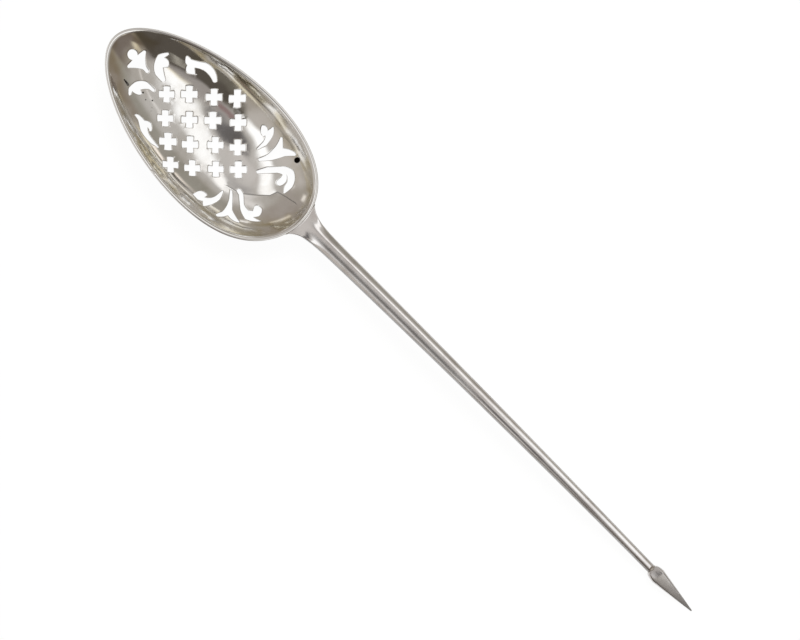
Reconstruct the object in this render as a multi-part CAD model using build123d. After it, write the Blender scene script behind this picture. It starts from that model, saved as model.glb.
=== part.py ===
# A silver mote spoon: a small pierced bowl on a long tapering stem that ends in a spear point.
# Sizes are in millimetres. X runs from the bowl's tip to the point, Z is up, and the spoon lies
# at rest on its bowl and its point. Stations along X are counted from the bowl's tip.
import os
from math import cos, exp, radians, sin, sqrt, tan

from build123d import *

# The whole spoon
overall_length = 140.0
solder_film = 0.08

# Bowl
bowl_length = 45.65
bowl_width = 24.8
bowl_depth = 5.6
bowl_heel_depth = 0.4
bowl_wall = 0.7
rim_band = 0.75
bowl_pitch = 3.0
worn_flat_depth = 0.2
egg_shape = 0.18
end_fullness = 0.044
end_skew = 0.037
floor_roundness = 0.55
heel_lean = 0.7
heel_lean_power = 6

# Stem
stem_width = 3.3
stem_height = 2.4
stem_end_diameter = 1.5
stem_taper = 1.15
stem_offset = 1.05
stem_drift = 0.5
stem_leaves_at = 3.0
stem_lands_at = 7.5
flare_width = 2.4
flare_reach = 1.7
flare_lean = 0.22
flare_lean_reach = 2.4
flare_thinning = 4.0
edge_softness = 0.28
end_softness = 0.46

# Drop, the tongue that backs the joint under the bowl
drop_length = 6.6
drop_width = 4.2
drop_end_width = 2.8
drop_thickness = 0.6
drop_offset = 0.35

# Point
point_length = 10.0
point_width = 2.78
point_thickness = 1.7
point_tip_width = 0.22
shoulder_length = 1.7
point_flat_share = 0.6
point_edge_share = 0.35
spigot_diameter = 0.8
spigot_length = 2.2
socket_clearance = 0.03
solder_bead = 0.14
solder_bead_length = 0.6

# Piercing, drawn for a bowl of this length and width and stretched to the real one
pattern_length = 45.65
pattern_width = 24.8
cross_reach = 1.34
cross_root = 0.54
cross_tip = 0.6
cross_end_bow = 0.07
cross_middle = 22.2
cross_step_along = 3.0
cross_step_across = 2.75
cross_rows = 4
pit_diameter = 0.95
pit_depth = 0.4
pit_place = (37.15, 7.95)

# Each outline runs anticlockwise as (station, side, bow): bow is how far the edge to the next
# point swells out of the opening, or into it when negative.
fleur = [
    (5.15, -0.25, 0), (5.20, -1.45, 0.1), (5.55, -1.80, -0.12), (7.40, -0.05, -0.04),
    (8.20, 0.00, 0.3), (8.20, 0.65, -0.04), (7.40, 0.80, -0.12), (5.75, 2.40, 0.12),
    (5.30, 2.20, 0), (5.15, 0.95, 1.55),
]
left_crescent = [
    (8.45, 5.00, 0.08), (7.58, 3.60, 0.06), (8.05, 2.30, 0.18), (9.60, 1.00, 0.03),
    (11.30, 1.00, 0.22), (11.30, 1.75, -0.05), (9.62, 2.75, 0), (10.12, 3.40, 0.18),
    (9.40, 4.20, 0.05), (8.60, 4.05, 0), (8.80, 4.85, 0.12),
]
right_crescent = [
    (11.30, -0.85, 0.03), (9.50, -0.95, 0.2), (8.15, -2.40, 0.08), (8.10, -4.10, 0.03),
    (8.85, -4.90, 0.12), (9.15, -4.70, 0), (8.85, -4.00, 0.05), (9.75, -3.75, 0.12),
    (10.35, -3.05, 0), (9.65, -2.70, -0.08), (10.60, -1.55, 0), (11.30, -1.40, 0.2),
]
left_scroll = [
    (11.15, 6.75, 0.05), (11.85, 6.02, 0), (12.30, 6.02, 0), (12.42, 5.70, 0.1),
    (13.10, 5.15, 0.1), (14.35, 5.95, 0), (13.45, 6.60, -0.08), (15.00, 7.45, -0.18),
    (17.40, 7.25, 0.1), (17.85, 7.75, 0.6), (14.20, 8.40, -0.05), (12.10, 7.10, 0.02),
    (11.40, 7.08, 0.1),
]
right_scroll = [
    (12.00, -6.60, 0), (13.00, -6.75, -0.03), (14.60, -7.70, 0.16), (17.60, -7.95, -0.02),
    (18.80, -7.62, 0.1), (18.70, -7.35, -0.04), (16.20, -7.08, -0.1), (15.05, -6.40, -0.1),
    (15.70, -6.60, 0.12), (15.95, -6.25, 0.1), (14.90, -5.42, 0.12), (13.85, -5.98, 0.1),
    (12.40, -6.08, 0.08),
]
left_outer_curl = [
    (31.05, 4.80, -0.04), (31.50, 6.20, 0.08), (31.20, 8.10, 0.12), (30.25, 9.20, 0.08),
    (30.10, 8.85, 0), (29.95, 8.15, 0.1), (29.20, 8.45, 0.1), (28.60, 8.05, 0.03),
    (29.10, 7.35, 0.12), (30.05, 6.98, 0), (30.25, 7.35, -0.12), (30.75, 6.30, 0),
    (30.80, 4.85, 0.06),
]
right_outer_curl = [
    (31.70, -4.55, 0), (31.65, -5.80, -0.3), (30.40, -7.75, 0), (30.50, -7.15, 0.42),
    (28.85, -8.00, 0.02), (28.68, -8.92, 0.05), (30.00, -8.95, 0.05), (30.70, -8.45, 0.05),
    (31.40, -9.15, 0.22), (32.50, -6.20, 0.1), (31.90, -4.50, 0.06),
]
left_tulip = [
    (32.15, 3.80, 0.06), (32.60, 3.62, 0.02), (33.95, 5.15, 0.03), (35.10, 7.10, -0.03),
    (36.40, 8.25, 0.1), (36.00, 8.65, 0.16), (33.95, 7.85, 0), (32.70, 8.95, 0.1),
    (32.30, 8.80, -0.08), (32.85, 7.20, -0.03), (32.85, 5.60, -0.08),
]
right_tulip = [
    (32.60, -3.55, 0), (33.55, -4.75, -0.2), (34.35, -7.40, 0.05), (33.90, -8.60, 0.1),
    (34.35, -8.75, 0.12), (35.45, -7.15, 0.1), (36.90, -7.15, 0.03), (37.75, -6.75, 0.1),
    (37.40, -6.50, -0.05), (35.30, -5.85, 0), (33.90, -4.25, 0.02), (32.95, -3.35, 0.1),
]
left_inner_curl = [
    (33.45, 2.15, 0.12), (33.90, 1.90, 0), (35.20, 3.25, 0), (36.20, 4.30, -0.05),
    (37.15, 4.70, 0), (37.25, 4.20, 0.03), (37.20, 3.15, 0.25), (38.15, 3.05, 0.12),
    (38.35, 4.25, 0.1), (37.60, 5.15, -0.12), (38.62, 4.20, 0), (38.78, 3.40, 0),
    (39.45, 2.50, 0.08), (39.65, 2.70, 0.03), (39.80, 4.10, 0.36), (38.00, 6.35, 0.16),
    (36.20, 5.80, 0), (34.30, 3.85, 0),
]
right_inner_curl = [
    (33.55, -2.85, 0), (34.20, -3.00, 0), (36.10, -4.65, 0.1), (38.00, -5.45, 0.22),
    (40.25, -3.75, -0.04), (38.75, -4.20, 0), (39.25, -3.50, 0.22), (38.75, -2.05, 0.06),
    (37.95, -2.05, 0.16), (37.60, -2.75, 0), (37.95, -3.40, 0.04), (37.40, -3.85, -0.1),
    (36.00, -3.60, 0), (34.80, -2.45, 0.05), (33.85, -2.15, 0.14), (33.40, -2.50, 0.1),
]
ornaments = [
    fleur, left_crescent, right_crescent, left_scroll, right_scroll, left_outer_curl,
    right_outer_curl, left_tulip, right_tulip, left_inner_curl, right_inner_curl,
]

# Places worked out from the sizes above
half_length = bowl_length / 2
pitch = radians(bowl_pitch)
landing = radians(stem_lands_at)
bowl_middle = half_length * cos(pitch)
heel = 2 * bowl_middle
stem_end = overall_length - point_length
beyond_rim = 1.07
tool_height = 20.0


# The bowl's plan: how wide it is at t, from -1 at the tip to 1 at the heel, before scaling.
def egg(t):
    return 1 + egg_shape * t + end_fullness * t**2 + end_skew * t**3


# The bowl's middle line drifts aside near the heel, where the stem was set a little off centre.
def lean(t):
    return heel_lean * max(t, 0) ** heel_lean_power


widest = max(egg(i / 500) * sqrt(1 - (i / 500) ** 2) for i in range(-500, 501))


# Height of a bowl surface under the rim's plane, for a surface that lies inset inside the
# outside of the rim and extra below the hollow. The hollow deepens evenly from tip to heel.
def surface_height(x, y, inset, extra):
    t = x / (half_length - inset)
    across = (y - lean(x / half_length)) / ((bowl_width / 2 / widest - inset) * egg(t))
    rho2 = t**2 + across**2
    depth = bowl_depth * (1 + bowl_heel_depth * t) + extra
    return -depth * (1 - floor_roundness * rho2 - (1 - floor_roundness) * rho2**3)


lowest = min(
    surface_height(i * half_length / 200, 0, 0, bowl_wall) * cos(pitch)
    - i * half_length / 200 * sin(pitch)
    for i in range(200)
)
rim_height = -lowest - worn_flat_depth
heel_height = rim_height - half_length * sin(pitch)
bowl_seat = Pos(bowl_middle, 0, rim_height) * Rot(0, bowl_pitch, 0)


# Everything above a bowl surface, as high as the tools need.
def space_above(inset, extra):
    columns = 41
    rows = 31
    reach_x = (half_length - inset) * beyond_rim
    reach_y = (bowl_width / 2 / widest - inset) * egg(beyond_rim) * beyond_rim
    grid = []
    for i in range(columns):
        x = reach_x * (2 * i / (columns - 1) - 1)
        line = [reach_y * (2 * j / (rows - 1) - 1) for j in range(rows)]
        grid.append([(x, y, surface_height(x, y, inset, extra)) for y in line])
    surface = Face.make_surface_from_array_of_points(grid, tol=0.002, min_deg=3, max_deg=5)
    return bowl_seat * extrude(surface, amount=tool_height, dir=(0, 0, 1))


# A place on the pattern, moved to where it falls on the real bowl.
def laid(x, y):
    along = bowl_length / pattern_length
    across = bowl_width / pattern_width
    return (bowl_middle + (x - pattern_length / 2) * along, y * across)


# A vertical tool with the given outline, tall enough to go through the bowl.
def piercing(outline):
    edges = []
    for i, (x, y, bow) in enumerate(outline):
        start = laid(x, y)
        end = laid(*outline[(i + 1) % len(outline)][:2])
        edges.append(SagittaArc(start, end, -bow) if bow else Line(start, end))
    return extrude(make_face(Wire(edges)), amount=tool_height)


# A cross whose four arms stand at 45 degrees to the spoon, each a little wider at its end.
def cross_piercing(x, y):
    edges = []
    for arm in range(4):
        turn = Rot(0, 0, 45 + 90 * arm)
        root = (turn * Pos(cross_root, -cross_root)).position
        near = (turn * Pos(cross_reach, -cross_tip)).position
        far = (turn * Pos(cross_reach, cross_tip)).position
        next_root = (turn * Pos(cross_root, cross_root)).position
        edges += [Line(root, near), SagittaArc(near, far, -cross_end_bow), Line(far, next_root)]
    return Pos(*laid(x, y)) * extrude(make_face(Wire(edges)), amount=tool_height)


# Sixteen crosses in a diamond, four along each side.
def cross_places():
    places = []
    for i in range(cross_rows):
        for j in range(cross_rows):
            x = cross_middle + (i + j - cross_rows + 1) * cross_step_along
            places.append((x, (i - j) * cross_step_across))
    return places


# The small blind pit, square to the wall that it is drilled into.
def drilled_pit():
    x, y = laid(*pit_place)
    x -= bowl_middle
    step = 0.05
    inside = (rim_band, 0)
    height = surface_height(x, y, *inside)
    slope_x = (surface_height(x + step, y, *inside) - height) / step
    slope_y = (surface_height(x, y + step, *inside) - height) / step
    wall = Plane(origin=(x, y, height), z_dir=(-slope_x, -slope_y, 1))
    return bowl_seat * wall * Pos(0, 0, bowl_wall) * Cylinder(
        pit_diameter / 2, pit_depth + bowl_wall, align=(Align.CENTER, Align.CENTER, Align.MAX)
    )


outer_space = space_above(0, bowl_wall)
soldered_space = space_above(-solder_film, bowl_wall + solder_film)


def make_bowl():
    inner_space = space_above(rim_band, 0)
    reach = 2 * overall_length
    under_rim = bowl_seat * Box(reach, reach, tool_height, align=(Align.CENTER, Align.CENTER, Align.MAX))
    over_table = Box(reach, reach, tool_height, align=(Align.CENTER, Align.CENTER, Align.MIN))
    bowl = (outer_space - inner_space) & under_rim & over_table
    for outline in ornaments:
        bowl -= piercing(outline)
    for x, y in cross_places():
        bowl -= cross_piercing(x, y)
    return bowl - drilled_pit()


# How far along the stem a station is, from 0 at the heel to 1 at the end.
def share(x):
    return (x - heel) / (stem_end - heel)


point_tip_height = point_tip_width / 2 * cos(landing)
point_base_height = point_tip_height + point_length * tan(landing)


def stem_size(x):
    u = max(share(x), 0)
    flare = flare_width * exp(-(x - heel) / flare_reach)
    width = stem_end_diameter + (stem_width - stem_end_diameter) * (1 - u) ** stem_taper + flare
    height = stem_height + (stem_end_diameter - stem_height) * u
    height *= exp(min(x - heel, 0) / flare_thinning)
    softness = edge_softness + (end_softness - edge_softness) * sqrt(u)
    return width, height, softness


# Height of the stem's top: level with the rim up to the heel, then an arch down to the point.
def stem_top(x):
    if x < heel:
        return heel_height + (heel - x) * tan(pitch)
    u = share(x)
    run = stem_end - heel
    end_height = point_base_height + stem_end_diameter / 2
    rise = tan(radians(stem_leaves_at)) * run
    fall = -tan(landing) * run
    return (
        (2 * u**3 - 3 * u**2 + 1) * heel_height
        + (u**3 - 2 * u**2 + u) * rise
        + (3 * u**2 - 2 * u**3) * end_height
        + (u**3 - u**2) * fall
    )


def stem_middle(x):
    side = stem_offset + stem_drift * share(x) - flare_lean * exp(-(x - heel) / flare_lean_reach)
    return Vector(x, side, stem_top(x) - stem_size(x)[1] / 2)


# How far the flare stands out past the bowl's own outline at a station.
def flare_overhang(x):
    t = min((x - bowl_middle) / half_length, 1)
    bowl_side = bowl_width / 2 / widest * egg(t) * sqrt(1 - t**2)
    return abs(stem_middle(x).Y - lean(t)) + stem_size(x)[0] / 2 - bowl_side


# The blank starts one wall behind the place where the flare comes inside that outline.
def blank_start():
    step = 0.02
    x = heel
    while flare_overhang(x) > 0:
        x -= step
    return x - bowl_wall


def stem_section(x):
    step = 0.1
    width, height, softness = stem_size(x)
    ahead = stem_middle(x + step) - stem_middle(x - step)
    if x < heel + flare_reach:
        ahead = Vector(1, 0, 0)
    plane = Plane(origin=stem_middle(x), x_dir=(0, 1, 0), z_dir=(ahead.X, 0, ahead.Z))
    return plane * RectangleRounded(width, height, softness * min(width, height))


# The stem before its end is fitted to the bowl: a neck in short straight lengths, closest
# together where the flare spreads most, and then the smooth shaft.
def stem_blank():
    start = blank_start()
    neck_end = heel + 5 * flare_reach
    neck_count = 14
    crowding = 1.6
    neck = []
    for i in range(neck_count + 1):
        neck.append(stem_section(start + (neck_end - start) * (i / neck_count) ** crowding))
    shaft_count = 7
    shaft = []
    for i in range(shaft_count + 1):
        shaft.append(stem_section(neck_end + (stem_end - neck_end) * i / shaft_count))
    return loft(neck, ruled=True) + loft(shaft)


# The point's own place: its base on the stem's end, leaning down to the table.
point_seat = Pos(stem_end, stem_offset + stem_drift, point_base_height) * Rot(0, stem_lands_at, 0)


def along_point(radius, start, length):
    rod = Cylinder(radius, length, rotation=(0, 90, 0), align=(Align.CENTER, Align.CENTER, Align.MIN))
    return point_seat * Pos(start, 0, 0) * rod


def tongue():
    start = heel - drop_length
    end = heel + 2 * drop_thickness
    wide = drop_width / 2
    narrow = drop_end_width / 2
    left = Line((end, wide), (start + narrow, narrow))
    nose = ThreePointArc((start + narrow, narrow), (start, 0), (start + narrow, -narrow))
    right = Line((start + narrow, -narrow), (end, -wide))
    base = Line((end, -wide), (end, wide))
    plan = Pos(0, drop_offset) * make_face(Wire([left, nose, right, base]))
    return extrude(plan, amount=stem_middle(blank_start()).Z)


blank = stem_blank()


def make_stem():
    root = spigot_diameter / 4
    spigot = along_point(spigot_diameter / 2, -root, root + spigot_length)
    return (blank - soldered_space) + spigot


def make_drop():
    drop_space = space_above(
        -solder_film - drop_thickness, bowl_wall + solder_film + drop_thickness
    )
    return (tongue() & drop_space) - soldered_space - blank


def make_heel_solder():
    return ((blank + tongue()) & soldered_space) - outer_space


# One eight-sided slice of the point.
def point_slice(x, half_width, half_height):
    flat = half_width * point_flat_share
    edge = half_height * point_edge_share
    corners = [
        (half_width, edge), (flat, half_height), (-flat, half_height), (-half_width, edge),
        (-half_width, -edge), (-flat, -half_height), (flat, -half_height), (half_width, -edge),
    ]
    plane = Plane(origin=(x, 0, 0), x_dir=(0, 1, 0), z_dir=(1, 0, 0))
    return plane * make_face(Polyline(*corners, close=True))


def make_point():
    start = stem_end_diameter / 2
    shoulder_steps = 5
    slices = []
    for i in range(shoulder_steps + 1):
        turn = radians(90 * i / shoulder_steps)
        half_width = start + (point_width / 2 - start) * sin(turn)
        half_height = start + (point_thickness / 2 - start) * sin(turn)
        slices.append(point_slice(shoulder_length * (1 - cos(turn)), half_width, half_height))
    tip = point_tip_width / 2
    slices.append(point_slice((point_length - tip * sin(landing)) / cos(landing), tip, tip))
    overrun = point_width
    socket = along_point(
        spigot_diameter / 2 + socket_clearance, -overrun, overrun + spigot_length + socket_clearance
    )
    return point_seat * loft(slices, ruled=True) - socket


def make_point_solder(stem, point):
    collar = along_point(
        stem_end_diameter / 2 + solder_bead, -solder_bead_length / 2, solder_bead_length
    )
    core = along_point(stem_end_diameter / 4, -solder_bead_length, 2 * solder_bead_length)
    return collar - stem - point - core


stem = make_stem()
point = make_point()
parts = {
    "bowl": make_bowl(),
    "stem": stem,
    "heel_drop": make_drop(),
    "heel_solder": make_heel_solder(),
    "point": point,
    "point_solder": make_point_solder(stem, point),
}

os.makedirs("parts", exist_ok=True)
home = Pos(-overall_length / 2, 0, 0)
for name, shape in parts.items():
    placed = home * shape
    box = placed.bounding_box()
    print(name, len(placed.solids()), "solids", round(placed.volume, 2), "mm3", box.min, box.max)
    export_step(placed, f"parts/{name}.step")
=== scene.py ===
# Old silver mote spoon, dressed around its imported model. Lengths are in millimetres from the
# bowl's tip until a mesh is made, and Blender gets metres.
import math
import bmesh
import bpy
import numpy as np
from mathutils import Matrix, Vector
from mathutils.geometry import delaunay_2d_cdt


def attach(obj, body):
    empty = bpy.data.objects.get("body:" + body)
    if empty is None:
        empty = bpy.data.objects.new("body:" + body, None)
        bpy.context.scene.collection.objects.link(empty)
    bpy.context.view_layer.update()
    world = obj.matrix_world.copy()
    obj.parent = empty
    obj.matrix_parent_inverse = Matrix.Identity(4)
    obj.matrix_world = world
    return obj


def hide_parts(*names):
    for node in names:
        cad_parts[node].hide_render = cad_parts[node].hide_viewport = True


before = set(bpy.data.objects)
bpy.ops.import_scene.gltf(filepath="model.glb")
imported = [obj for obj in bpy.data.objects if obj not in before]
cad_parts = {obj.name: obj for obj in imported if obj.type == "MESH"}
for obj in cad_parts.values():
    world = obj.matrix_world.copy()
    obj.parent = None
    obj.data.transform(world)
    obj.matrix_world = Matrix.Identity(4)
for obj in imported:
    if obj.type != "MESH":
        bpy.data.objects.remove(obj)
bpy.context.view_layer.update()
print("frame loaded:", ", ".join(sorted(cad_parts)))

spoon = {
    "length": 140.0,
    "pointLength": 10.0,
    "landing": math.radians(7.5),  # how steeply the stem comes down to the table
}

# Helpers for meshes.


def toMetres(points):
    return (np.asarray(points, float) - (spoon["length"] / 2, 0, 0)) * 0.001


def addObject(name, data):
    made = bpy.data.objects.new(name, data)
    bpy.context.scene.collection.objects.link(made)
    return made


def addPiece(name, points, faces, material, nodeName):
    mesh = bpy.data.meshes.new(name)
    mesh.from_pydata(toMetres(points).tolist(), [], faces)
    work = bmesh.new()
    work.from_mesh(mesh)
    bmesh.ops.recalc_face_normals(work, faces=work.faces)
    work.to_mesh(mesh)
    work.free()
    mesh.shade_smooth()
    mesh.materials.append(material)
    piece = addObject(name, mesh)
    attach(piece, "root")
    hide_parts(nodeName)
    print(name, "has", len(mesh.vertices), "points")
    return piece


# Gives each point a value that its silver reads; points past the last value get 0.
def addLayer(piece, name, values):
    layer = piece.data.attributes.new(name, "FLOAT", "POINT")
    filled = np.zeros(len(piece.data.vertices))
    filled[:np.size(values)] = np.ravel(values)
    layer.data.foreach_set("value", filled)


def joinLoops(loopA, loopB):
    count = len(loopA)
    return [
        (loopA[i], loopA[(i + 1) % count], loopB[(i + 1) % count], loopB[i]) for i in range(count)
    ]


# A skin over rings of equal length, closed with a fan at each end.
def skin(rings):
    rings = np.asarray(rings, float)
    ends = np.array([rings[0].mean(axis=0), rings[-1].mean(axis=0)])
    points = np.vstack([rings.reshape(-1, 3), ends])
    loops = np.arange(len(points) - 2).reshape(rings.shape[:2]).tolist()
    faces = []
    for low, high in zip(loops, loops[1:]):
        faces += joinLoops(low, high)
    first, last = loops[0], loops[-1]
    for j in range(len(first)):
        after = (j + 1) % len(first)
        faces.append((len(points) - 2, first[after], first[j]))
        faces.append((len(points) - 1, last[j], last[after]))
    return points, faces


# Soft unevenness: a few plane waves with mixed directions and lengths.
def ripples(x, y, kind):
    rng = np.random.default_rng(kind["seed"])
    waveCount = 16
    total = np.zeros_like(np.asarray(x, float))
    for _ in range(waveCount):
        turn = rng.uniform(0, math.tau)
        wave = math.tau / rng.uniform(*kind["lengths"])
        phase = rng.uniform(0, math.tau)
        total += np.sin(wave * (x * math.cos(turn) + y * math.sin(turn)) + phase)
    return total * kind["height"] / math.sqrt(waveCount)


def smoothStep(low, high, value):
    share = np.clip((value - low) / (high - low), 0, 1)
    return share * share * (3 - 2 * share)


# 1 within a round mark and 0 outside it, with a soft edge.
def roundMark(distance, radius, edge):
    return 1 - smoothStep(radius + edge[0], radius + edge[1], distance)


# The bowl's form.

bowl = {
    "length": 45.65,
    "width": 24.8,
    "depth": 5.6,
    "heelDepth": 0.4,  # the hollow deepens evenly towards the heel
    "wall": 0.7,
    "rimBand": 0.75,
    "tipLift": math.radians(3.0),
    "wornFlat": 0.2,
    "egg": (0.18, 0.044, 0.037),  # how the outline widens towards the heel
    "floor": 0.55,  # share of the depth that is evenly round; the rest turns up near the rim
    "wallPower": 6,  # how late the rest turns up
    "lean": 0.7,  # the heel end is a little to one side
    "leanPower": 6,
    "rimRounding": 0.47,  # share of the band that each rounded edge takes
    "cutRounding": 0.04,
    "underRounding": 0.7,  # share of it that the cuts have below
    # raised and filed by hand, so never quite even
    "ripple": {"seed": 7, "lengths": (3.5, 9.0), "height": 0.022},
    "rippleFade": (0.9, 0.985),  # the ripple dies out towards the rim
    "rimRipple": {"seed": 11, "lengths": (14, 60), "height": 0.06},  # a share of the rounding
    "rimSpan": 20,  # radius of the circle that its waves run round
}
halfLength = bowl["length"] / 2
alongBowl = np.linspace(-1, 1, 1001)
settlingRounds = 9


def egg(t):
    a, b, c = bowl["egg"]
    return 1 + a * t + b * t**2 + c * t**3


def lean(t):
    return bowl["lean"] * np.maximum(t, 0) ** bowl["leanPower"]


halfWidth = bowl["width"] / 2 / np.max(egg(alongBowl) * np.sqrt(1 - alongBowl**2))
inside = (bowl["rimBand"], 0.0)
outside = (0.0, bowl["wall"])


# Height from the rim's plane, at t along the bowl and reach out from its middle.
def hollowHeight(t, reach, extra):
    depth = bowl["depth"] * (1 + bowl["heelDepth"] * t) + extra
    steep = (1 - bowl["floor"]) * reach ** bowl["wallPower"]
    return -depth * (1 - bowl["floor"] * reach**2 - steep)


def cupHeight(x, y, inset, extra):
    t = x / (halfLength - inset)
    across = (y - lean(x / halfLength)) / ((halfWidth - inset) * egg(t))
    reach = np.sqrt(t**2 + across**2)
    return hollowHeight(t, reach, extra), reach


cosTilt, sinTilt = math.cos(bowl["tipLift"]), math.sin(bowl["tipLift"])
alongHalf = np.linspace(0, halfLength, 201)
lowest = np.min(cupHeight(alongHalf, 0, *outside)[0] * cosTilt - alongHalf * sinTilt)
rimHeight = -lowest - bowl["wornFlat"]
bowlMiddle = halfLength * cosTilt
heel = 2 * bowlMiddle
heelHeight = rimHeight - halfLength * sinTilt


def onSpoon(x, y, z):
    return np.stack(
        [bowlMiddle + x * cosTilt + z * sinTilt, y, rimHeight - x * sinTilt + z * cosTilt], axis=-1
    )


# Height of a bowl surface over a place on the table, and how near the rim that place is. The
# bowl is tilted, so a few rounds settle which of its points is over the place.
def surfaceOver(spoonX, spoonY, form):
    x = spoonX - bowlMiddle
    for _ in range(settlingRounds):
        z, reach = cupHeight(x, spoonY, *form)
        x = (spoonX - bowlMiddle - z * sinTilt) / cosTilt
    return rimHeight - x * sinTilt + z * cosTilt, reach


def cupRing(reach, form, angles):
    inset, extra = form
    t = reach * np.cos(angles)
    x = t * (halfLength - inset)
    y = reach * np.sin(angles) * (halfWidth - inset) * egg(t) + lean(x / halfLength)
    return np.stack([x, y, hollowHeight(t, reach, extra)], axis=-1)


# The piercing.

cross = {
    "reach": 1.34, "root": 0.54, "tip": 0.6, "bow": 0.07, "middle": 22.2, "along": 3.0,
    "across": 2.75, "rows": 4,
    # sawn by eye, so each cross is a little off its place and its size
    "shifts": [(0.1, 0.1), (-0.15, -0.2), (0, 0.05), (0.15, 0.2),
               (-0.2, 0.2), (-0.1, -0.05), (0, -0.2), (0.15, -0.1),
               (0.15, 0.15), (-0.2, 0.05), (0.1, 0.2), (0.1, 0.05),
               (0.15, 0), (0.15, 0.15), (0.1, -0.1), (-0.1, 0.05)],
    "sizes": [0.97, 1.0, 1.1, 1.0, 1.02, 1.0, 1.03, 1.0,
              1.0, 1.05, 1.0, 0.97, 1.03, 1.0, 0.98, 1.03],
}

# Anticlockwise (station, side, bow): bow is how far the cut swells out on the way to the next.
ornaments = {
    "fleur": [
        (5.15, -0.25, 0), (5.2, -1.45, 0.1), (5.55, -1.8, -0.12), (7.4, -0.05, -0.04),
        (8.2, 0.0, 0.3), (8.2, 0.65, -0.04), (7.4, 0.8, -0.12), (5.75, 2.4, 0.12),
        (5.3, 2.2, 0), (5.15, 0.95, 1.55),
    ],
    "leftCrescent": [
        (8.45, 5.0, 0.08), (7.58, 3.6, 0.06), (8.05, 2.3, 0.18), (9.6, 1.0, 0.03),
        (11.3, 1.0, 0.22), (11.3, 1.75, -0.05), (9.62, 2.75, 0), (10.12, 3.4, 0.18),
        (9.4, 4.2, 0.05), (8.6, 4.05, 0), (8.8, 4.85, 0.12),
    ],
    "rightCrescent": [
        (11.3, -0.85, 0.03), (9.5, -0.95, 0.2), (8.15, -2.4, 0.08), (8.1, -4.1, 0.03),
        (8.85, -4.9, 0.12), (9.15, -4.7, 0), (8.85, -4.0, 0.05), (9.75, -3.75, 0.12),
        (10.35, -3.05, 0), (9.65, -2.7, -0.08), (10.6, -1.55, 0), (11.3, -1.4, 0.2),
    ],
    "leftScroll": [
        (11.15, 6.75, 0.05), (11.85, 6.02, 0), (12.3, 6.02, 0), (12.42, 5.7, 0.1),
        (13.1, 5.15, 0.1), (14.35, 5.95, 0), (13.45, 6.6, -0.08), (15.0, 7.45, -0.18),
        (17.4, 7.25, 0.1), (17.85, 7.75, 0.6), (14.2, 8.4, -0.05), (12.1, 7.1, 0.02),
        (11.4, 7.08, 0.1),
    ],
    "rightScroll": [
        (12.0, -6.6, 0), (13.0, -6.75, -0.03), (14.6, -7.7, 0.16), (17.6, -7.95, -0.02),
        (18.8, -7.62, 0.1), (18.7, -7.35, -0.04), (16.2, -7.08, -0.1), (15.05, -6.4, -0.1),
        (15.7, -6.6, 0.12), (15.95, -6.25, 0.1), (14.9, -5.42, 0.12), (13.85, -5.98, 0.1),
        (12.4, -6.08, 0.08),
    ],
    "leftOuterCurl": [
        (31.05, 4.8, -0.04), (31.5, 6.2, 0.08), (31.2, 8.1, 0.12), (30.25, 9.2, 0.08),
        (30.1, 8.85, 0), (29.95, 8.15, 0.1), (29.2, 8.45, 0.1), (28.6, 8.05, 0.03),
        (29.1, 7.35, 0.12), (30.05, 6.98, 0), (30.25, 7.35, -0.12), (30.75, 6.3, 0),
        (30.8, 4.85, 0.06),
    ],
    "rightOuterCurl": [
        (31.7, -4.55, 0), (31.65, -5.8, -0.3), (30.4, -7.75, 0), (30.5, -7.15, 0.42),
        (28.85, -8.0, 0.02), (28.68, -8.92, 0.05), (30.0, -8.95, 0.05), (30.7, -8.45, 0.05),
        (31.4, -9.15, 0.22), (32.5, -6.2, 0.1), (31.9, -4.5, 0.06),
    ],
    "leftTulip": [
        (32.15, 3.8, 0.06), (32.6, 3.62, 0.02), (33.95, 5.15, 0.03), (35.1, 7.1, -0.03),
        (36.4, 8.25, 0.1), (36.0, 8.65, 0.16), (33.95, 7.85, 0), (32.7, 8.95, 0.1),
        (32.3, 8.8, -0.08), (32.85, 7.2, -0.03), (32.85, 5.6, -0.08),
    ],
    "rightTulip": [
        (32.6, -3.55, 0), (33.55, -4.75, -0.2), (34.35, -7.4, 0.05), (33.9, -8.6, 0.1),
        (34.35, -8.75, 0.12), (35.45, -7.15, 0.1), (36.9, -7.15, 0.03), (37.75, -6.75, 0.1),
        (37.4, -6.5, -0.05), (35.3, -5.85, 0), (33.9, -4.25, 0.02), (32.95, -3.35, 0.1),
    ],
    "leftInnerCurl": [
        (33.45, 2.15, 0.12), (33.9, 1.9, 0), (35.2, 3.25, 0), (36.2, 4.3, -0.05),
        (37.15, 4.7, 0), (37.25, 4.2, 0.03), (37.2, 3.15, 0.25), (38.15, 3.05, 0.12),
        (38.35, 4.25, 0.1), (37.6, 5.15, -0.12), (38.62, 4.2, 0), (38.78, 3.4, 0),
        (39.45, 2.5, 0.08), (39.65, 2.7, 0.03), (39.8, 4.1, 0.36), (38.0, 6.35, 0.16),
        (36.2, 5.8, 0), (34.3, 3.85, 0),
    ],
    "rightInnerCurl": [
        (33.55, -2.85, 0), (34.2, -3.0, 0), (36.1, -4.65, 0.1), (38.0, -5.45, 0.22),
        (40.25, -3.75, -0.04), (38.75, -4.2, 0), (39.25, -3.5, 0.22), (38.75, -2.05, 0.06),
        (37.95, -2.05, 0.16), (37.6, -2.75, 0), (37.95, -3.4, 0.04), (37.4, -3.85, -0.1),
        (36.0, -3.6, 0), (34.8, -2.45, 0.05), (33.85, -2.15, 0.14), (33.4, -2.5, 0.1),
    ],
}
# The pit is painted dark inside and round its edge: painted shade in the hole.
pit = {
    "at": (37.15, 7.95), "radius": 0.475, "depth": 0.42,
    "edge": (-0.09, 0.02),  # where it starts and ends to drop, from its radius
    "darkEdge": (-0.06, 0.07),
}


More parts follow.
